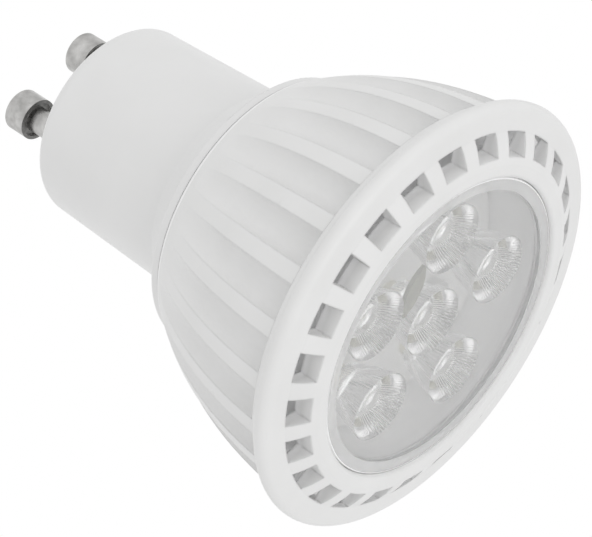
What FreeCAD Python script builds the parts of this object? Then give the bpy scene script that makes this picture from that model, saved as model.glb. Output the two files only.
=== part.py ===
import FreeCAD, Part
import math
import os

# Spotlight bulb with a bi-pin cap. Millimetres, pins up, front ring on Z = 0.

# Front bezel
rim_radius = 25.0
recess_radius = 17.52
front_edge_round = 0.45
land_width = 1.03
bevel_width = 3.13
bevel_height = 1.53
bevel_crown = 0.15
lip_band_rise = 0.22
lip_front_round = 0.95
lip_back_round = 1.1
lip_back_angle = 70.0
lip_seat_width = 1.2
lip_step = 0.12
vent_count = 25
vent_inner_inset = 5.2
vent_outer_inset = 2.87
vent_angle = 8.8
vent_start = 2.2
plate_step = 0.2
spigot_seat_width = 1.48

# Heat sink
fin_front = 4.6
fin_end_inset = 1.42
bell_height = 25.6
bell_end_radius = 16.54
bell_bulge_inset = 2.46
bell_bulge_height = 16.9
groove_angle = 9.5
groove_depth = 1.8
groove_end_drop = 1.2
groove_lift = 0.06
groove_stations = 7
ledge_width = 0.92
web_thickness = 2.4
neck_bore_radius = 13.2

# Lens plate
lens_recess = 0.4
lens_dish_depth = 0.46
lens_dish_inset = 1.57
lens_thickness = 1.9
lens_count = 5
lens_ring_radius = 10.3
lens_radius = 4.0
lens_tail_radius = 2.3
lens_ring_start = 85.0
damper_x = -1.1
damper_y = -6.93
damper_turn = -41.0
damper_length = 6.0
damper_width = 2.2
damper_thickness = 0.5

# Emitters and their board
board_drop = 6.4
board_thickness = 1.6
pad_thickness = 0.4
emitter_radius = 1.6
emitter_height = 0.8
dome_radius = 1.2

# Base cap
collar_radius = 16.3
collar_height = 1.1
collar_round = 0.35
seam_gap = 0.25
seam_depth = 0.35
flare_height = 5.4
flare_foot_radius = 12.26
flare_knee_radius = 13.3
flare_knee_height = 3.1
cap_end_radius = 11.72
cap_length = 24.75
cap_end_round = 1.5
cap_bore_radius = 10.2
cap_end_wall = 2.2

# Contact pins
pin_spacing = 10.0
pin_head_radius = 2.5
pin_head_height = 3.0
pin_head_round = 0.3
pin_stem_radius = 1.5
pin_stem_length = 7.3
pin_undercut = 0.35
pin_undercut_lip = 0.4
pin_collar_radius = 2.2
pin_collar_height = 0.8
pin_tail_radius = 0.9
pin_tail_length = 2.2

# Driver
driver_face_y = 3.4
driver_thickness = 1.2
driver_half_width = 9.9
driver_bottom_gap = 1.4
driver_top_gap = 1.0
core_width = 10.4
core_height = 9.6
core_depth = 4.8
core_leg = 3.2
core_yoke = 1.6
winding_overhang = 1.8
transformer_gap = 6.0
part_gap = 0.8
bulk_radius = 4.0
bulk_x = -4.5
output_radius = 3.1
output_shortfall = 1.5
output_x = 4.8
fuse_radius = 1.2
fuse_length = 6.4
fuse_drop = 1.7
bridge_size = (4.7, 2.5, 4.0)
bridge_drop = 6.0
chip_size = (5.0, 1.6, 4.0)
chip_drop = 16.0

# Wires and screws
mains_wire_radius = 0.6
mains_wire_bend = 1.4
mains_wire_drop = 3.0
led_wire_radius = 0.45
led_wire_x = 3.3
led_wire_overlap = 4.0
solder_radius = 0.95
solder_height = 0.5
screw_radius = 1.0
screw_head_radius = 1.9
screw_head_height = 1.2
screw_cross_width = 0.5
screw_cross_length = 2.2
screw_cross_depth = 0.7
board_screw_ring = 8.0
board_screw_gaps = (0, 2)
board_screw_end_gap = 0.2
base_screw_ring = 11.6
base_screw_angles = (90.0, 210.0, 330.0)
base_screw_length = 9.0

# Clearances
fit_clearance = 0.15
board_clearance = 0.2
emitter_clearance = 0.4
dome_clearance = 0.5
slot_clearance = 0.1
wire_clearance = 0.5
overcut = 1.0

# Heights and radii that follow from the sizes above
lens_front = lens_recess + lens_dish_depth
ledge_z = lens_front + lens_thickness
plate_back = ledge_z - plate_step
board_front = ledge_z + board_drop
board_back = board_front + board_thickness
web_front = board_back + pad_thickness
web_back = web_front + web_thickness
cavity_radius = recess_radius - ledge_width
board_radius = cavity_radius - board_clearance
lens_edge_radius = recess_radius - fit_clearance
spigot_radius = recess_radius + spigot_seat_width
land_outer = recess_radius + front_edge_round + land_width
bevel_outer = land_outer + bevel_width
fin_end_radius = rim_radius - fin_end_inset
vent_inner = rim_radius - vent_inner_inset
vent_outer = rim_radius - vent_outer_inset
sleeve_radius = neck_bore_radius - fit_clearance
sleeve_front = web_back + fit_clearance
cap_end = bell_height + cap_length
cap_inner_end = cap_end - cap_end_wall
driver_bottom = web_back + driver_bottom_gap
driver_back_y = driver_face_y + driver_thickness
tail_end = cap_inner_end - pin_collar_height - pin_tail_length
driver_top = tail_end - driver_top_gap
pitch = 360.0 / vent_count
lens_pitch = 360.0 / lens_count

axis = FreeCAD.Vector(0, 0, 1)
origin = FreeCAD.Vector(0, 0, 0)


def at(r, z):
    return FreeCAD.Vector(r, 0, z)


def line(a, b):
    return Part.LineSegment(a, b).toShape()


def arc(a, middle, b):
    return Part.Arc(a, middle, b).toShape()


def round_arc(centre_r, centre_z, radius, start, end):
    def on(angle):
        turn = math.radians(angle)
        return at(centre_r + radius * math.cos(turn), centre_z + radius * math.sin(turn))
    return arc(on(start), on((start + end) / 2), on(end))


def turned(edges, angle=360.0):
    return Part.Face(Part.Wire(edges)).revolve(origin, axis, angle)


def turned_points(points):
    loop = [at(r, z) for r, z in points]
    loop.append(loop[0])
    return turned([line(a, b) for a, b in zip(loop, loop[1:])])


def rod(radius, low, high, x=0.0, y=0.0):
    return Part.makeCylinder(radius, high - low, FreeCAD.Vector(x, y, low), axis)


def block(x0, x1, y0, y1, z0, z1):
    return Part.makeBox(x1 - x0, y1 - y0, z1 - z0, FreeCAD.Vector(x0, y0, z0))


def polar(radius, angle):
    turn = math.radians(angle)
    return radius * math.cos(turn), radius * math.sin(turn)


def turned_about(shape, angle):
    copy = shape.copy()
    copy.rotate(origin, axis, angle)
    return copy


def moved(shape, x, y, z=0.0):
    copy = shape.copy()
    copy.translate(FreeCAD.Vector(x, y, z))
    return copy


lens_spots = [(0.0, 0.0)]
for index in range(lens_count):
    lens_spots.append(polar(lens_ring_radius, lens_ring_start + index * lens_pitch))
led_wire_spots = [(side * led_wire_x, driver_face_y - led_wire_radius) for side in (-1, 1)]
board_screw_spots = []
for gap in board_screw_gaps:
    board_screw_spots.append(polar(board_screw_ring, lens_ring_start + (gap - 0.5) * lens_pitch))
base_screw_spots = [polar(base_screw_ring, angle) for angle in base_screw_angles]
pin_spots = [(-pin_spacing / 2, 0.0), (pin_spacing / 2, 0.0)]


def around(cut):
    return [turned_about(cut, vent_start + index * pitch) for index in range(vent_count)]


def make_front_bezel():
    bevel_middle = at((land_outer + bevel_outer) / 2, bevel_height / 2 - bevel_crown)
    lip_z = bevel_height + lip_band_rise + lip_front_round
    lip_front = rim_radius - lip_front_round
    lip_back = rim_radius - lip_back_round
    back_turn = math.radians(lip_back_angle)
    back_r = lip_back + lip_back_round * math.cos(back_turn)
    back_z = lip_z + lip_back_round * math.sin(back_turn)
    seat_outer = fin_end_radius + lip_step
    seat_inner = fin_end_radius - lip_seat_width
    body = turned([
        line(at(recess_radius, ledge_z), at(recess_radius, front_edge_round)),
        round_arc(recess_radius + front_edge_round, front_edge_round, front_edge_round, 180, 270),
        line(at(recess_radius + front_edge_round, 0), at(land_outer, 0)),
        arc(at(land_outer, 0), bevel_middle, at(bevel_outer, bevel_height)),
        line(at(bevel_outer, bevel_height), at(lip_front, bevel_height + lip_band_rise)),
        round_arc(lip_front, lip_z, lip_front_round, -90, 0),
        round_arc(lip_back, lip_z, lip_back_round, 0, lip_back_angle),
        line(at(back_r, back_z), at(seat_outer, fin_front)),
        line(at(seat_outer, fin_front), at(seat_inner, fin_front)),
        line(at(seat_inner, fin_front), at(seat_inner, plate_back)),
        line(at(seat_inner, plate_back), at(spigot_radius, plate_back)),
        line(at(spigot_radius, plate_back), at(spigot_radius, ledge_z)),
        line(at(spigot_radius, ledge_z), at(recess_radius, ledge_z)),
    ])
    vent = turned([
        line(at(vent_inner, -overcut), at(vent_outer, -overcut)),
        line(at(vent_outer, -overcut), at(vent_outer, plate_back + overcut)),
        line(at(vent_outer, plate_back + overcut), at(vent_inner, plate_back + overcut)),
        line(at(vent_inner, plate_back + overcut), at(vent_inner, -overcut)),
    ], vent_angle)
    return body.cut(around(turned_about(vent, -vent_angle / 2)))


bulge_radius = rim_radius - bell_bulge_inset
groove_end = bell_height - groove_end_drop


def bell_radius(z):
    bend = fin_front - 2 * bell_bulge_height + bell_height
    slope = bell_bulge_height - fin_front
    share = (math.sqrt(slope ** 2 - bend * (fin_front - z)) - slope) / bend
    back = 1 - share
    return back ** 2 * fin_end_radius + 2 * back * share * bulge_radius + share ** 2 * bell_end_radius


def groove_section(z):
    share = (z - fin_front) / (groove_end - fin_front)
    crest = bell_radius(z)
    floor = crest - groove_depth * (1 - share ** 2)
    half = groove_angle / 2
    ring_spots = [(crest + groove_lift, -half), (crest + groove_lift, half)]
    ring_spots += [(rim_radius + overcut, half), (rim_radius + overcut, -half)]
    left, right, far_right, far_left = [FreeCAD.Vector(*polar(r, angle), z) for r, angle in ring_spots]
    scoop = arc(left, at(floor, z), right)
    return Part.Wire([scoop, line(right, far_right), line(far_right, far_left), line(far_left, left)])


def make_heat_sink():
    bell = Part.BezierCurve()
    bulge = at(bulge_radius, bell_bulge_height)
    bell.setPoles([at(fin_end_radius, fin_front), bulge, at(bell_end_radius, bell_height)])
    body = turned([
        line(at(cavity_radius, ledge_z), at(spigot_radius, ledge_z)),
        line(at(spigot_radius, ledge_z), at(spigot_radius, fin_front)),
        line(at(spigot_radius, fin_front), at(fin_end_radius, fin_front)),
        bell.toShape(),
        line(at(bell_end_radius, bell_height), at(neck_bore_radius, bell_height)),
        line(at(neck_bore_radius, bell_height), at(neck_bore_radius, web_back)),
        line(at(neck_bore_radius, web_back), at(0, web_back)),
        line(at(0, web_back), at(0, web_front)),
        line(at(0, web_front), at(cavity_radius, web_front)),
        line(at(cavity_radius, web_front), at(cavity_radius, ledge_z)),
    ])
    groove_low = fin_front - overcut
    groove_step = (groove_end + groove_end_drop / 2 - groove_low) / groove_stations
    levels = [groove_low + groove_step * index for index in range(groove_stations + 1)]
    groove = Part.makeLoft([groove_section(z) for z in levels], True, False)
    cuts = around(groove)
    for x, y in led_wire_spots:
        cuts.append(rod(led_wire_radius + wire_clearance, web_front - overcut, web_back + overcut, x, y))
    for x, y in board_screw_spots:
        cuts.append(rod(screw_radius, web_front - overcut, web_back + overcut, x, y))
    for x, y in base_screw_spots:
        head_floor = web_front + screw_head_height + fit_clearance
        cuts.append(rod(screw_radius + fit_clearance, web_front, web_back + overcut, x, y))
        cuts.append(rod(screw_head_radius + fit_clearance, web_front - overcut, head_floor, x, y))
    return body.cut(cuts)


def make_lens_plate():
    dish_radius = recess_radius - lens_dish_inset
    plate = turned_points([
        (0, lens_front),
        (dish_radius, lens_front),
        (dish_radius, lens_recess),
        (lens_edge_radius, lens_recess),
        (lens_edge_radius, ledge_z),
        (0, ledge_z),
    ])
    tail = board_front - emitter_height - emitter_clearance
    pocket_radius = dome_radius + dome_clearance
    pocket_depth = tail - (board_front - emitter_height - dome_radius) + dome_clearance
    cone = Part.makeCone(lens_radius, lens_tail_radius, tail - ledge_z, at(0, ledge_z), axis)
    pocket = rod(pocket_radius, tail - pocket_depth, tail + overcut)
    plate = plate.fuse([moved(cone, x, y) for x, y in lens_spots])
    return plate.cut([moved(pocket, x, y) for x, y in lens_spots]).removeSplitter()


def make_lens_damper():
    tips = [FreeCAD.Vector(side * damper_length / 2, 0, ledge_z) for side in (-1, 1)]
    sides = [FreeCAD.Vector(0, side * damper_width / 2, ledge_z) for side in (-1, 1)]
    edges = [arc(tips[0], sides[0], tips[1]), arc(tips[1], sides[1], tips[0])]
    leaf = Part.Face(Part.Wire(edges)).extrude(FreeCAD.Vector(0, 0, damper_thickness))
    return moved(turned_about(leaf, damper_turn), damper_x, damper_y)


def make_led_board():
    board = rod(board_radius, board_front, board_back)
    cuts = []
    for x, y in led_wire_spots:
        cuts.append(rod(led_wire_radius + slot_clearance, board_front - overcut, board_back + overcut, x, y))
    for x, y in board_screw_spots:
        cuts.append(rod(screw_radius + fit_clearance, board_front - overcut, board_back + overcut, x, y))
    return board.cut(cuts)


def make_thermal_pad():
    pad = rod(board_radius - board_clearance, board_back, web_front)
    cuts = []
    for x, y in led_wire_spots:
        cuts.append(rod(led_wire_radius + wire_clearance, board_back - overcut, web_front + overcut, x, y))
    for x, y in board_screw_spots:
        cuts.append(rod(screw_radius + fit_clearance, board_back - overcut, web_front + overcut, x, y))
    return pad.cut(cuts)


def make_emitter():
    seat = board_front - emitter_height
    return turned([
        line(at(0, board_front), at(0, seat - dome_radius)),
        round_arc(0, seat, dome_radius, -90, 0),
        line(at(dome_radius, seat), at(emitter_radius, seat)),
        line(at(emitter_radius, seat), at(emitter_radius, board_front)),
        line(at(emitter_radius, board_front), at(0, board_front)),
    ])


def make_screw(head_low, end):
    seat = head_low + screw_head_height
    screw = rod(screw_head_radius, head_low, seat).fuse(rod(screw_radius, seat, end))
    half = screw_cross_length / 2
    thin = screw_cross_width / 2
    floor = head_low + screw_cross_depth
    cross = [
        block(-half, half, -thin, thin, head_low - overcut, floor),
        block(-thin, thin, -half, half, head_low - overcut, floor),
    ]
    return screw.cut(cross).removeSplitter()


def make_base_cap():
    foot_z = bell_height + flare_height
    knee_z = bell_height + flare_knee_height
    edge_z = bell_height + seam_gap
    collar_top = edge_z + collar_height
    collar_z = collar_top - collar_round
    collar_inner = collar_radius - collar_round
    seam_floor = collar_radius - seam_depth
    round_z = cap_end - cap_end_round
    edges = [
        line(at(sleeve_radius, sleeve_front), at(sleeve_radius, bell_height)),
        line(at(sleeve_radius, bell_height), at(seam_floor, bell_height)),
        line(at(seam_floor, bell_height), at(seam_floor, edge_z)),
        line(at(seam_floor, edge_z), at(collar_radius, edge_z)),
        line(at(collar_radius, edge_z), at(collar_radius, collar_z)),
        round_arc(collar_inner, collar_z, collar_round, 0, 90),
        arc(at(collar_inner, collar_top), at(flare_knee_radius, knee_z), at(flare_foot_radius, foot_z)),
        line(at(flare_foot_radius, foot_z), at(cap_end_radius, round_z)),
        round_arc(cap_end_radius - cap_end_round, round_z, cap_end_round, 0, 90),
        line(at(cap_end_radius - cap_end_round, cap_end), at(0, cap_end)),
        line(at(0, cap_end), at(0, cap_inner_end)),
        line(at(0, cap_inner_end), at(cap_bore_radius, cap_inner_end)),
        line(at(cap_bore_radius, cap_inner_end), at(cap_bore_radius, sleeve_front)),
        line(at(cap_bore_radius, sleeve_front), at(sleeve_radius, sleeve_front)),
    ]
    cuts = []
    for x, y in pin_spots:
        cuts.append(rod(pin_stem_radius, cap_inner_end - overcut, cap_end + overcut, x, y))
    screw_end = web_front + fit_clearance + base_screw_length
    for x, y in base_screw_spots:
        cuts.append(rod(screw_radius, sleeve_front - overcut, screw_end + overcut, x, y))
    reach = driver_half_width + slot_clearance
    low_y = driver_face_y - slot_clearance
    high_y = driver_back_y + slot_clearance
    cuts.append(block(-reach, reach, low_y, high_y, sleeve_front - overcut, driver_top))
    return turned(edges).cut(cuts)


def make_pin():
    shoulder = cap_end + pin_stem_length
    top = shoulder + pin_head_height
    head_wall = pin_head_radius - pin_undercut_lip
    round_r = pin_head_radius - pin_head_round
    round_z = top - pin_head_round
    collar_low = cap_inner_end - pin_collar_height
    return turned([
        line(at(0, tail_end), at(pin_tail_radius, tail_end)),
        line(at(pin_tail_radius, tail_end), at(pin_tail_radius, collar_low)),
        line(at(pin_tail_radius, collar_low), at(pin_collar_radius, collar_low)),
        line(at(pin_collar_radius, collar_low), at(pin_collar_radius, cap_inner_end)),
        line(at(pin_collar_radius, cap_inner_end), at(pin_stem_radius, cap_inner_end)),
        line(at(pin_stem_radius, cap_inner_end), at(pin_stem_radius, shoulder + pin_undercut)),
        line(at(pin_stem_radius, shoulder + pin_undercut), at(head_wall, shoulder + pin_undercut)),
        line(at(head_wall, shoulder + pin_undercut), at(head_wall, shoulder)),
        line(at(head_wall, shoulder), at(pin_head_radius, shoulder)),
        line(at(pin_head_radius, shoulder), at(pin_head_radius, round_z)),
        round_arc(round_r, round_z, pin_head_round, 0, 90),
        line(at(round_r, top), at(0, top)),
        line(at(0, top), at(0, tail_end)),
    ])


def make_mains_wire(x):
    level = driver_top - mains_wire_drop + mains_wire_radius
    bend = mains_wire_bend
    turn = bend * (1 - math.sqrt(0.5))
    start = FreeCAD.Vector(x, 0, tail_end)
    bend_start = FreeCAD.Vector(x, 0, level + bend)
    bend_middle = FreeCAD.Vector(x, turn, level + turn)
    bend_end = FreeCAD.Vector(x, bend, level)
    end = FreeCAD.Vector(x, driver_face_y, level)
    path = Part.Wire([line(start, bend_start), arc(bend_start, bend_middle, bend_end), line(bend_end, end)])
    section = Part.Wire(Part.Circle(start, axis, mains_wire_radius).toShape())
    return path.makePipeShell([section], True, False)


def make_led_lead(x, y):
    wire = rod(led_wire_radius, board_front, driver_bottom + led_wire_overlap, x, y)
    solder_low = FreeCAD.Vector(x, y, board_front - solder_height)
    solder = Part.makeCone(led_wire_radius, solder_radius, solder_height, solder_low, axis)
    return wire.fuse(solder).removeSplitter()


winding_depth = core_depth + 2 * winding_overhang
core_y = driver_face_y - winding_depth / 2
core_z = driver_bottom + transformer_gap + core_height / 2
core_top = core_z + core_height / 2
window_half_height = core_height / 2 - core_yoke
window_half_width = core_width / 2 - core_yoke


def make_core():
    deep = core_depth / 2
    body = block(-core_width / 2, core_width / 2, -deep, deep, -core_height / 2, core_height / 2)
    cuts = []
    for side in (-1, 1):
        near = min(side * core_leg / 2, side * window_half_width)
        far = max(side * core_leg / 2, side * window_half_width)
        cuts.append(block(near, far, -deep - overcut, deep + overcut, -window_half_height, window_half_height))
    return moved(body.cut(cuts), 0, core_y, core_z)


def make_winding():
    wide = window_half_width - slot_clearance
    tall = window_half_height - slot_clearance
    deep = winding_depth / 2
    body = block(-wide, wide, -deep, deep, -tall, tall)
    leg = block(-core_leg / 2, core_leg / 2, -core_depth / 2, core_depth / 2, -core_height, core_height)
    return moved(body.cut(leg), 0, core_y, core_z)


def on_driver_back(size, drop):
    wide, deep, tall = size
    top = driver_top - drop
    return block(-wide / 2, wide / 2, driver_back_y, driver_back_y + deep, top - tall, top)


fuse_z = driver_top - fuse_drop
can_low = core_top + part_gap
can_high = fuse_z - fuse_radius - part_gap
fuse_start = FreeCAD.Vector(-fuse_length / 2, driver_face_y - fuse_radius, fuse_z)
base_screw_low = web_front + fit_clearance
board_screw_low = board_front - screw_head_height
board_screw = make_screw(board_screw_low, web_back - board_screw_end_gap)
base_screw = make_screw(base_screw_low, base_screw_low + base_screw_length)
driver_sides = (-driver_half_width, driver_half_width, driver_face_y, driver_back_y)

parts = {
    "front_bezel": make_front_bezel(),
    "heat_sink": make_heat_sink(),
    "lens_plate": make_lens_plate(),
    "lens_damper": make_lens_damper(),
    "led_board": make_led_board(),
    "thermal_pad": make_thermal_pad(),
    "board_screws": Part.makeCompound([moved(board_screw, x, y) for x, y in board_screw_spots]),
    "base_screws": Part.makeCompound([moved(base_screw, x, y) for x, y in base_screw_spots]),
    "base_cap": make_base_cap(),
    "contact_pin_left": moved(make_pin(), *pin_spots[0]),
    "contact_pin_right": moved(make_pin(), *pin_spots[1]),
    "driver_board": block(*driver_sides, driver_bottom, driver_top),
    "transformer_core": make_core(),
    "transformer_winding": make_winding(),
    "bulk_capacitor": rod(bulk_radius, can_low, can_high, bulk_x, driver_face_y - bulk_radius),
    "output_capacitor": rod(
        output_radius, can_low, can_high - output_shortfall, output_x, driver_face_y - output_radius
    ),
    "fuse_resistor": Part.makeCylinder(fuse_radius, fuse_length, fuse_start, FreeCAD.Vector(1, 0, 0)),
    "bridge_rectifier": on_driver_back(bridge_size, bridge_drop),
    "controller_chip": on_driver_back(chip_size, chip_drop),
    "live_wire": make_mains_wire(pin_spots[0][0]),
    "neutral_wire": make_mains_wire(pin_spots[1][0]),
    "led_lead_positive": make_led_lead(*led_wire_spots[0]),
    "led_lead_negative": make_led_lead(*led_wire_spots[1]),
    "led_centre": make_emitter(),
}
for index in range(lens_count):
    parts["led_outer_%d" % (index + 1)] = moved(make_emitter(), *lens_spots[index + 1])

os.makedirs("parts", exist_ok=True)
for name, shape in parts.items():
    shape.exportStep("parts/%s.step" % name)
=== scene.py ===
import math

import bmesh
import bpy
from mathutils import Matrix, Vector


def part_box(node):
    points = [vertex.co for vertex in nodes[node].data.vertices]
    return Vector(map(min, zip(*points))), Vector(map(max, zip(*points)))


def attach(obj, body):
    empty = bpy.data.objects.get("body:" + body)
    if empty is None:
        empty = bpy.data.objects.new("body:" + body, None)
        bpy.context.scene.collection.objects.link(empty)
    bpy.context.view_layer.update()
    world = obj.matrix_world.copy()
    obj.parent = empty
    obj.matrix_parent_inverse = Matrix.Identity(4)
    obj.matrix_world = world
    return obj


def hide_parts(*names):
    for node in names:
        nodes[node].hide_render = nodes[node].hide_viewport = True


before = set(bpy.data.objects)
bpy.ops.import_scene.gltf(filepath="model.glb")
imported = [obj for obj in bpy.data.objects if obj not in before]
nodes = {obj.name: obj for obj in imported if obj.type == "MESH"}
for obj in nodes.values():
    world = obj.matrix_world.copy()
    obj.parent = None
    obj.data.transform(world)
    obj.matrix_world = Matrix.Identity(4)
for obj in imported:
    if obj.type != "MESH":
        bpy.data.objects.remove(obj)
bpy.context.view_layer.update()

# Sizes are in millimetres. The floor, the lamps and the camera's clip range are in metres
MM = 0.001


def add_object(name, data):
    made = bpy.data.objects.new(name, data)
    bpy.context.scene.collection.objects.link(made)
    return made


# Camera: the bulb stands on its front ring, and the photograph looks up at that ring
IMAGE_WIDTH = 592
IMAGE_HEIGHT = 537
FOCAL_PIXELS = 2529.08
CENTRE_X = 311.65
CENTRE_Y = 257.61
SENSOR_WIDTH = 36.0
CLIP_START = 0.01
CLIP_END = 10.0
VIEW_TILT = math.radians(59.30)
VIEW_TURN = math.radians(-112.0)
VIEW_ROLL = math.radians(-122.57)
AIM = Vector((0, 0, -4.015))
AIM_IN_VIEW = Vector((16.652, 9.359, 259.726))

turn = Matrix.Rotation(VIEW_TURN, 3, "Z")
forward = turn @ Vector((-math.sin(VIEW_TILT), 0, math.cos(VIEW_TILT)))
level = turn @ Vector((0, -1, 0))
drop = forward.cross(level)
right = math.cos(VIEW_ROLL) * level + math.sin(VIEW_ROLL) * drop
down = math.cos(VIEW_ROLL) * drop - math.sin(VIEW_ROLL) * level
eye = AIM - right * AIM_IN_VIEW.x - down * AIM_IN_VIEW.y - forward * AIM_IN_VIEW.z

camera_data = bpy.data.cameras.new("camera")
camera_data.sensor_fit = "HORIZONTAL"
camera_data.sensor_width = SENSOR_WIDTH
camera_data.lens = FOCAL_PIXELS / IMAGE_WIDTH * SENSOR_WIDTH
camera_data.shift_x = (IMAGE_WIDTH / 2 - CENTRE_X) / IMAGE_WIDTH
camera_data.shift_y = (CENTRE_Y - IMAGE_HEIGHT / 2) / IMAGE_WIDTH
camera_data.clip_start = CLIP_START
camera_data.clip_end = CLIP_END
camera = add_object("camera", camera_data)
facing = Matrix((right, -down, -forward)).transposed().to_4x4()
camera.matrix_world = Matrix.Translation(eye * MM) @ facing
bpy.context.scene.camera = camera

# Materials: most of a noise lies between these two levels, so ramps run from one to the other
NOISE_LOW = 0.3
NOISE_HIGH = 0.7
NOISE_ROUGHNESS = 0.55
BEVEL_SAMPLES = 6
# Places of the colour sockets on a mix node
MIX_FIRST = 6
MIX_SECOND = 7
MIX_RESULT = 2


def grey(value):
    return (value, value, value)


class Shader:
    def __init__(self, name, colour, roughness, metallic=0.0):
        self.material = bpy.data.materials.new(name)
        self.material.use_nodes = True
        self.tree = self.material.node_tree
        self.surface = self.tree.nodes["Principled BSDF"]
        self.set("Base Color", (*colour, 1.0))
        self.set("Roughness", roughness)
        self.set("Metallic", metallic)
        self.place = self.tree.nodes.new("ShaderNodeTexCoord").outputs["Object"]
        self.normal = None

    def set(self, socket, value):
        self.surface.inputs[socket].default_value = value

    def link(self, a, b):
        self.tree.links.new(a, b)

    def node(self, kind, **values):
        made = self.tree.nodes.new(kind)
        for key, value in values.items():
            if key in made.inputs.keys():
                made.inputs[key].default_value = value
            else:
                setattr(made, key, value)
        return made

    def noise(self, size, detail=3.0, stretch=(1, 1, 1)):
        spread = self.node("ShaderNodeMapping", Scale=[s / (size * MM) for s in stretch])
        self.link(self.place, spread.inputs["Vector"])
        made = self.node("ShaderNodeTexNoise", Scale=1.0, Detail=detail,
                         Roughness=NOISE_ROUGHNESS)
        self.link(spread.outputs[0], made.inputs["Vector"])
        return made.outputs["Fac"]

    def span(self, source, start, end, low=0.0, high=1.0):
        made = self.node("ShaderNodeMapRange")
        made.inputs["From Min"].default_value = start
        made.inputs["From Max"].default_value = end
        made.inputs["To Min"].default_value = low
        made.inputs["To Max"].default_value = high
        self.link(source, made.inputs["Value"])
        return made.outputs[0]

    def height(self, low, high):
        parts = self.node("ShaderNodeSeparateXYZ")
        self.link(self.place, parts.inputs[0])
        return self.span(parts.outputs["Z"], low * MM, high * MM)

    def below(self, value, limit):
        made = self.node("ShaderNodeMath", operation="LESS_THAN")
        made.inputs[1].default_value = limit * MM
        self.link(value, made.inputs[0])
        return made.outputs[0]

    def join(self, operation, a, b):
        made = self.node("ShaderNodeMath", operation=operation)
        self.link(a, made.inputs[0])
        self.link(b, made.inputs[1])
        return made.outputs[0]

    def mix(self, factor, first, second):
        made = self.node("ShaderNodeMix", data_type="RGBA")
        self.link(factor, made.inputs["Factor"])
        self.link(first, made.inputs[MIX_FIRST])
        self.link(second, made.inputs[MIX_SECOND])
        return made.outputs[MIX_RESULT]

    def ramp(self, source, dark, light, start=NOISE_LOW, end=NOISE_HIGH):
        made = self.node("ShaderNodeValToRGB")
        stops = made.color_ramp.elements
        stops[0].position, stops[0].color = start, (*dark, 1)
        stops[1].position, stops[1].color = end, (*light, 1)
        self.link(source, made.inputs["Fac"])
        return made.outputs["Color"]

    def colour(self, source):
        self.link(source, self.surface.inputs["Base Color"])

    def paint(self, source, dark, light, start=NOISE_LOW, end=NOISE_HIGH):
        self.colour(self.ramp(source, dark, light, start, end))

    def roughen(self, source, low, high):
        gloss = self.span(source, NOISE_LOW, NOISE_HIGH, low, high)
        self.link(gloss, self.surface.inputs["Roughness"])

    def soften(self, radius):
        made = self.node("ShaderNodeBevel", samples=BEVEL_SAMPLES, Radius=radius * MM)
        self.normal = made.outputs["Normal"]
        self.link(self.normal, self.surface.inputs["Normal"])

    def bump(self, source, height):
        made = self.node("ShaderNodeBump", Distance=height * MM, Strength=1.0)
        self.link(source, made.inputs["Height"])
        if self.normal:
            self.link(self.normal, made.inputs["Normal"])
        self.normal = made.outputs["Normal"]
        self.link(self.normal, self.surface.inputs["Normal"])

    def give(self, *names):
        for name in names:
            target = nodes[name]
            target.data.materials.clear()
            target.data.materials.append(self.material)


# Coat: painted light makes the cavity behind the lens and the hollow behind the vents brighter
CAVITY_RADIUS = 16.8
VENT_RADIUS = 22.5
VENT_START = 1.65
VENT_LIT = 2.2
VENT_END = 4.7
VENT_FADE = 0.1
coat = Shader("white_coat", grey(0.80), roughness=0.42)
coat.soften(radius=0.35)
coat.bump(coat.noise(size=0.35, detail=2.0), height=0.012)
coat.bump(coat.noise(size=4.0), height=0.03)
coated = coat.ramp(coat.noise(size=6.0, detail=4.0),
                   dark=(0.785, 0.785, 0.78), light=(0.815, 0.815, 0.812))
# Painted light: a brighter colour than the coat where the cavity and the vent hollows lie in
# shade
painted_light = coat.ramp(coat.noise(size=3.0), dark=grey(0.94), light=grey(0.96))
flat = coat.node("ShaderNodeMapping", Scale=(1, 1, 0))
coat.link(coat.place, flat.inputs["Vector"])
distance = coat.node("ShaderNodeVectorMath", operation="LENGTH")
coat.link(flat.outputs[0], distance.inputs[0])
away = distance.outputs["Value"]
behind_face = coat.height(VENT_START, VENT_LIT)
before_bell = coat.height(VENT_END + VENT_FADE, VENT_END)
near_front = coat.join("MULTIPLY", behind_face, before_bell)
in_vent = coat.join("MULTIPLY", coat.below(away, VENT_RADIUS), near_front)
painted_light_mask = coat.join("MAXIMUM", coat.below(away, CAVITY_RADIUS), in_vent)
coat.colour(coat.mix(painted_light_mask, coated, painted_light))
coat.roughen(coat.noise(size=1.5), low=0.36, high=0.5)
coat.give("heat_sink", "front_bezel")

cap = Shader("white_cap", grey(0.78), roughness=0.35)
cap.soften(radius=0.2)
cap.bump(cap.noise(size=0.5, detail=2.0), height=0.006)
cap.paint(cap.noise(size=9.0, detail=4.0),
          dark=(0.785, 0.785, 0.782), light=(0.81, 0.81, 0.808))
cap.roughen(cap.noise(size=3.0), low=0.3, high=0.42)
cap.give("base_cap")
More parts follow.
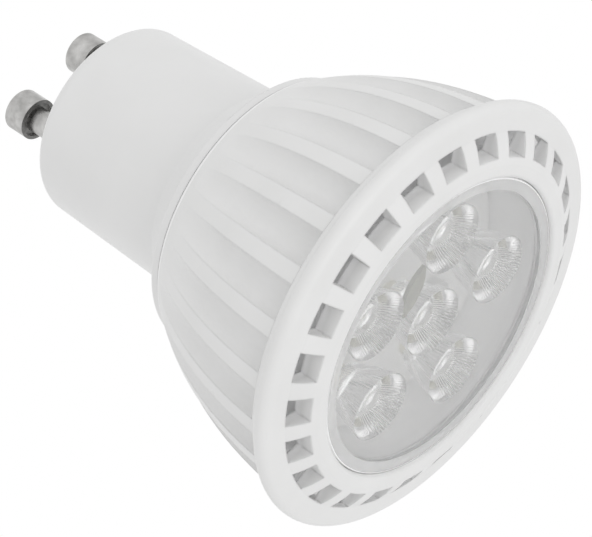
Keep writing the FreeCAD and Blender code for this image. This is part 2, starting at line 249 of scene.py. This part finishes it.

# Nickel: fine rings from turning, and painted shade on the faces that look at the cap's end
TURNING_MARKS = (0.25, 0.25, 3.0)
UNDERSIDE_START = -0.6
UNDERSIDE_FULL = -0.9
nickel = Shader("nickel", grey(0.46), roughness=0.3, metallic=1.0)
nickel.soften(radius=0.08)
nickel.bump(nickel.noise(size=1.0, detail=2.0, stretch=TURNING_MARKS), height=0.003)
nickel.roughen(nickel.noise(size=0.9), low=0.26, high=0.38)
plating = nickel.ramp(nickel.noise(size=1.6),
                      dark=(0.34, 0.336, 0.328), light=(0.575, 0.57, 0.56))
# Painted shade: the faces that look down at the cap's end are darker
painted_shade = nickel.ramp(nickel.noise(size=0.7),
                      dark=(0.16, 0.16, 0.157), light=(0.26, 0.257, 0.25))
facing_down = nickel.node("ShaderNodeSeparateXYZ")
nickel.link(nickel.node("ShaderNodeNewGeometry").outputs["Normal"], facing_down.inputs[0])
painted_shade_mask = nickel.span(facing_down.outputs["Z"], UNDERSIDE_START, UNDERSIDE_FULL)
nickel.colour(nickel.mix(painted_shade_mask, plating, painted_shade))
nickel.give("contact_pin_left", "contact_pin_right")

# Lens plate: a dished plate with six fluted collimators, each with a domed pocket for its emitter
LENS_LOW, LENS_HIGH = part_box("lens_plate")
RIM_GROWTH = 0.09
LENS_EDGE = LENS_HIGH.x / MM + RIM_GROWTH
LENS_FRONT = LENS_LOW.z / MM
LENS_TAIL = LENS_HIGH.z / MM
DISH_RADIUS = 15.95
DISH_FLOOR = 0.86
FLAT_MARGIN = 0.4
ROUND = 0.2
ROUND_MIDDLE = 0.06
LIP_HEIGHT = 0.14
LIP_WIDTH = 0.16
LIP_MIDDLE_OUT = 0.05
LIP_MIDDLE_UP = 0.04
PLATE_BACK = 2.74
BOND_RADIUS = 16.62
LENS_RADIUS = 4.0
TAIL_RADIUS = 2.3
WALL_CURVE = 0.8
WALL_SHARES = (0.0, 0.25, 0.5, 0.75, 1.0)
POCKET_RADIUS = 1.7
POCKET_TOP = 6.66
POCKET_DOME = 0.3
POCKET_SHARES = (1.0, 0.75, 0.5, 0.25)
FLUTES = 60
FLUTE_HEIGHT = 0.04
PLATE_STEPS = 256
CONE_STEPS = FLUTES * 4
SHARP_ANGLE = math.radians(35)
# Places of the materials on the mesh
CLEAR_FINISH = 0
FRONT_FINISH = 1
EDGE_FINISH = 2
FLANGE_FINISH = 3
POCKET_FINISH = 4
EMITTERS = ["led_centre"] + ["led_outer_%d" % k for k in range(1, 6)]
LENS_SPOTS = []
for name in EMITTERS:
    low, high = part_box(name)
    LENS_SPOTS.append(((low.x + high.x) / 2 / MM, (low.y + high.y) / 2 / MM))


def ring(bm, radius, z, steps, x=0.0, y=0.0, wave=0.0):
    verts = []
    for step in range(steps):
        turned = 2 * math.pi * step / steps
        r = radius + wave * math.cos(FLUTES * turned)
        across = x + r * math.cos(turned)
        along = y + r * math.sin(turned)
        verts.append(bm.verts.new((across * MM, along * MM, z * MM)))
    return verts


def sides(loop):
    return list(zip(loop, loop[1:] + loop[:1]))


def skin(bm, rings, finish):
    for a, b in zip(rings, rings[1:]):
        for (a_start, a_end), (b_start, b_end) in zip(sides(a), sides(b)):
            face = bm.faces.new((a_start, a_end, b_end, b_start))
            face.material_index = finish


def close(bm, loop, z, finish, x=0.0, y=0.0):
    tip = bm.verts.new((x * MM, y * MM, z * MM))
    for start, end in sides(loop):
        face = bm.faces.new((start, end, tip))
        face.material_index = finish


def loop_edges(bm, loop):
    return [bm.edges.get(side) for side in sides(loop)]


# The first two rings lie level, so that the smooth normals of the dish's floor stay level too
front_profile = [
    (DISH_RADIUS - FLAT_MARGIN, DISH_FLOOR),
    (DISH_RADIUS - ROUND, DISH_FLOOR),
    (DISH_RADIUS - ROUND_MIDDLE, DISH_FLOOR - ROUND_MIDDLE),
    (DISH_RADIUS, LENS_FRONT + LIP_HEIGHT),
    (DISH_RADIUS + LIP_MIDDLE_OUT, LENS_FRONT + LIP_MIDDLE_UP),
    (DISH_RADIUS + LIP_WIDTH, LENS_FRONT),
    (LENS_EDGE - ROUND, LENS_FRONT),
    (LENS_EDGE - ROUND_MIDDLE, LENS_FRONT + ROUND_MIDDLE),
    (LENS_EDGE, LENS_FRONT + ROUND),
    (LENS_EDGE, PLATE_BACK),
    (BOND_RADIUS, PLATE_BACK),
]
LIP_RING = 3
RIM_RING = 6

bm = bmesh.new()
rings = [ring(bm, r, z, PLATE_STEPS) for r, z in front_profile]
skin(bm, rings[:LIP_RING + 1], FRONT_FINISH)
skin(bm, rings[LIP_RING:RIM_RING + 1], FLANGE_FINISH)
skin(bm, rings[RIM_RING:], EDGE_FINISH)
close(bm, rings[0], DISH_FLOOR, FRONT_FINISH)
back_edges = loop_edges(bm, rings[-1])
for x, y in LENS_SPOTS:
    walls = []
    for share in WALL_SHARES:
        radius = TAIL_RADIUS + (LENS_RADIUS - TAIL_RADIUS) * (1 - share) ** WALL_CURVE
        z = PLATE_BACK + share * (LENS_TAIL - PLATE_BACK)
        walls.append(ring(bm, radius, z, CONE_STEPS, x, y, FLUTE_HEIGHT))
    mouth = len(walls)
    walls.append(ring(bm, POCKET_RADIUS, LENS_TAIL, CONE_STEPS, x, y))
    for share in POCKET_SHARES:
        z = POCKET_TOP + POCKET_DOME * (1 - share ** 2)
        walls.append(ring(bm, POCKET_RADIUS * share, z, CONE_STEPS, x, y))
    skin(bm, walls[:mouth + 1], CLEAR_FINISH)
    skin(bm, walls[mouth:], POCKET_FINISH)
    close(bm, walls[-1], POCKET_TOP + POCKET_DOME, POCKET_FINISH, x, y)
    back_edges += loop_edges(bm, walls[0])
bmesh.ops.triangle_fill(bm, use_beauty=True, edges=back_edges)
bmesh.ops.recalc_face_normals(bm, faces=bm.faces)
lens_mesh = bpy.data.meshes.new("lens_moulding")
bm.to_mesh(lens_mesh)
bm.free()
lens_mesh.shade_smooth()
lens_mesh.set_sharp_from_angle(angle=SHARP_ANGLE)
lens_piece = add_object("lens_moulding", lens_mesh)
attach(lens_piece, "root")
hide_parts("lens_plate")

# Lens materials in the order of their places: clear walls, hazed front, opaque rim, hazed flange
# and frosted pockets
ACRYLIC_IOR = 1.49
POLISH_RISE = 0.4


def acrylic(name, clear, roughness):
    made = Shader(name, grey(1.0), roughness)
    made.set("Transmission Weight", clear)
    made.set("IOR", ACRYLIC_IOR)
    made.bump(made.noise(size=2.5, detail=2.0), height=0.004)
    lens_mesh.materials.append(made.material)
    return made


lens = acrylic("clear_lens", clear=1.0, roughness=0.05)
polish = lens.ramp(lens.height(PLATE_BACK, PLATE_BACK + POLISH_RISE),
                   dark=grey(0.05), light=grey(0.12), start=0.0, end=1.0)
lens.link(polish, lens.surface.inputs["Roughness"])
front = acrylic("lens_front", clear=0.74, roughness=0.05)
front.roughen(front.noise(size=3.0), low=0.03, high=0.07)
edge = Shader("lens_edge", grey(0.95), roughness=0.3)
edge.paint(edge.noise(size=5.0), dark=grey(0.93), light=grey(0.97))
edge.roughen(edge.noise(size=1.0), low=0.25, high=0.38)
lens_mesh.materials.append(edge.material)
flange = acrylic("lens_flange", clear=0.60, roughness=0.05)
flange.roughen(flange.noise(size=3.0), low=0.03, high=0.07)
pocket = acrylic("lens_pocket", clear=1.0, roughness=0.22)
pocket.roughen(pocket.noise(size=0.6), low=0.17, high=0.27)

# Pieces behind the lens
board = Shader("white_board", (0.94, 0.94, 0.93), roughness=0.45)
board.paint(board.noise(size=2.0), dark=(0.92, 0.92, 0.91), light=(0.96, 0.96, 0.95))
board.bump(board.noise(size=0.6), height=0.01)
board.give("led_board")

emitter = Shader("emitter", (0.82, 0.8, 0.66), roughness=0.2)
emitter.paint(emitter.noise(size=0.5), dark=(0.78, 0.76, 0.6), light=(0.86, 0.84, 0.72))
emitter.give(*EMITTERS)

screw = Shader("screw_steel", grey(0.7), roughness=0.4, metallic=1.0)
screw.bump(screw.noise(size=0.3, detail=2.0), height=0.01)
screw.roughen(screw.noise(size=0.5), low=0.35, high=0.5)
screw.give("board_screws", "base_screws")

# Plain materials vary by these shares around their own colour and roughness
DARKER = 0.85
LIGHTER = 1.12
SMOOTHER = 0.85
ROUGHER = 1.15


def plain(name, colour, roughness, *targets):
    made = Shader(name, colour, roughness)
    dark = tuple(DARKER * c for c in colour)
    light = tuple(min(1.0, LIGHTER * c) for c in colour)
    made.paint(made.noise(size=1.2, detail=4.0), dark, light)
    made.bump(made.noise(size=0.5), height=0.01)
    made.roughen(made.noise(size=0.8), roughness * SMOOTHER, roughness * ROUGHER)
    made.give(*targets)


plain("pad", (0.45, 0.46, 0.48), 0.8, "thermal_pad")
plain("damper_foam", (0.25, 0.25, 0.18), 0.8, "lens_damper")
plain("driver_laminate", (0.1, 0.28, 0.13), 0.5, "driver_board")
plain("ferrite", (0.08, 0.08, 0.09), 0.7, "transformer_core")
plain("winding_tape", (0.75, 0.62, 0.12), 0.35, "transformer_winding")
plain("capacitor_sleeve", (0.05, 0.06, 0.12), 0.3, "bulk_capacitor", "output_capacitor")
plain("resistor_coat", (0.35, 0.5, 0.45), 0.4, "fuse_resistor")
plain("chip_black", (0.04, 0.04, 0.04), 0.6, "bridge_rectifier", "controller_chip")
plain("wire_brown", (0.25, 0.13, 0.06), 0.5, "live_wire")
plain("wire_blue", (0.07, 0.15, 0.45), 0.5, "neutral_wire")

# Leads: the cover ends at the board, and the bare end in front of it is tinned
BOARD_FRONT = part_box("led_board")[0].z / MM
COVER_FADE = 0.1
TINNED = grey(0.62)


def lead(name, cover, target):
    made = Shader(name, cover, roughness=0.5)
    made.paint(made.height(BOARD_FRONT, BOARD_FRONT + COVER_FADE),
               dark=TINNED, light=cover, start=0.0, end=1.0)
    made.bump(made.noise(size=0.4), height=0.01)
    made.roughen(made.noise(size=0.8), low=0.35, high=0.5)
    made.give(target)


lead("wire_red", (0.55, 0.05, 0.05), "led_lead_positive")
lead("wire_black", (0.04, 0.04, 0.04), "led_lead_negative")

# Stage: a floor that shows from above and takes the shadow, and lets the low camera see through
FLOOR_HALF = 2.0
FLOOR_DROP = 0.02 * MM
FLOOR_WHITE = 0.95
FLOOR_GLOW = 0.15
FLOOR_CORNERS = [(-1, -1), (1, -1), (1, 1), (-1, 1)]
floor_mesh = bpy.data.meshes.new("floor")
floor_points = [(x * FLOOR_HALF, y * FLOOR_HALF, -FLOOR_DROP) for x, y in FLOOR_CORNERS]
floor_mesh.from_pydata(floor_points, [], [(0, 1, 2, 3)])
floor = add_object("floor", floor_mesh)
paper = bpy.data.materials.new("floor_paper")
paper.use_nodes = True
tree = paper.node_tree
tree.nodes.clear()
white = tree.nodes.new("ShaderNodeBsdfDiffuse")
white.inputs["Color"].default_value = (*grey(FLOOR_WHITE), 1)
glow = tree.nodes.new("ShaderNodeEmission")
glow.inputs["Strength"].default_value = FLOOR_GLOW
lit = tree.nodes.new("ShaderNodeAddShader")
tree.links.new(white.outputs[0], lit.inputs[0])
tree.links.new(glow.outputs[0], lit.inputs[1])
path = tree.nodes.new("ShaderNodeLightPath")
geometry = tree.nodes.new("ShaderNodeNewGeometry")
from_above = tree.nodes.new("ShaderNodeMath")
from_above.operation = "SUBTRACT"
from_above.use_clamp = True
tree.links.new(path.outputs["Is Camera Ray"], from_above.inputs[0])
tree.links.new(geometry.outputs["Backfacing"], from_above.inputs[1])
see_through = tree.nodes.new("ShaderNodeBsdfTransparent")
shown = tree.nodes.new("ShaderNodeMixShader")
tree.links.new(from_above.outputs[0], shown.inputs["Fac"])
tree.links.new(see_through.outputs[0], shown.inputs[1])
tree.links.new(lit.outputs[0], shown.inputs[2])
out = tree.nodes.new("ShaderNodeOutputMaterial")
tree.links.new(shown.outputs[0], out.inputs["Surface"])
floor_mesh.materials.append(paper)

# Light: the world is white where it is seen, also in metal and lens, and dimmer as a light
AMBIENT = 0.80
SEEN_WHITE = 1.0
world = bpy.data.worlds.new("studio")
bpy.context.scene.world = world
world.use_nodes = True
sky = world.node_tree
backdrop = sky.nodes["Background"]
backdrop.inputs["Color"].default_value = (1, 1, 1, 1)
rays = sky.nodes.new("ShaderNodeLightPath")
in_object = sky.nodes.new("ShaderNodeMath")
in_object.operation = "MAXIMUM"
sky.links.new(rays.outputs["Is Glossy Ray"], in_object.inputs[0])
sky.links.new(rays.outputs["Is Transmission Ray"], in_object.inputs[1])
seen = sky.nodes.new("ShaderNodeMath")
seen.operation = "MAXIMUM"
sky.links.new(rays.outputs["Is Camera Ray"], seen.inputs[0])
sky.links.new(in_object.outputs[0], seen.inputs[1])
strength = sky.nodes.new("ShaderNodeMapRange")
strength.inputs["To Min"].default_value = AMBIENT
strength.inputs["To Max"].default_value = SEEN_WHITE
sky.links.new(seen.outputs[0], strength.inputs["Value"])
sky.links.new(strength.outputs[0], backdrop.inputs["Strength"])

LAMP_TARGET = Vector((0, 0, 0.025))
LAMP_DISTANCE = 0.8
LAMP_SIZE = 0.6
KEY_POWER = 1.1
FILL_POWER = 0.4
up_in_view = -down
KEY_SIDE = Vector((0, 0, -0.8)) - forward * 0.5 + up_in_view * 0.2
FILL_SIDE = up_in_view * 0.9 - forward * 0.5


def lamp(name, direction, power):
    data = bpy.data.lights.new(name, "AREA")
    data.shape = "DISK"
    data.size = LAMP_SIZE
    data.energy = power
    made = add_object(name, data)
    aim = direction.normalized()
    made.location = LAMP_TARGET + aim * LAMP_DISTANCE
    made.rotation_euler = (-aim).to_track_quat("-Z", "Y").to_euler()


lamp("key", KEY_SIDE, KEY_POWER)
lamp("fill", FILL_SIDE, FILL_POWER)

bpy.context.scene.view_settings.view_transform = "Standard"
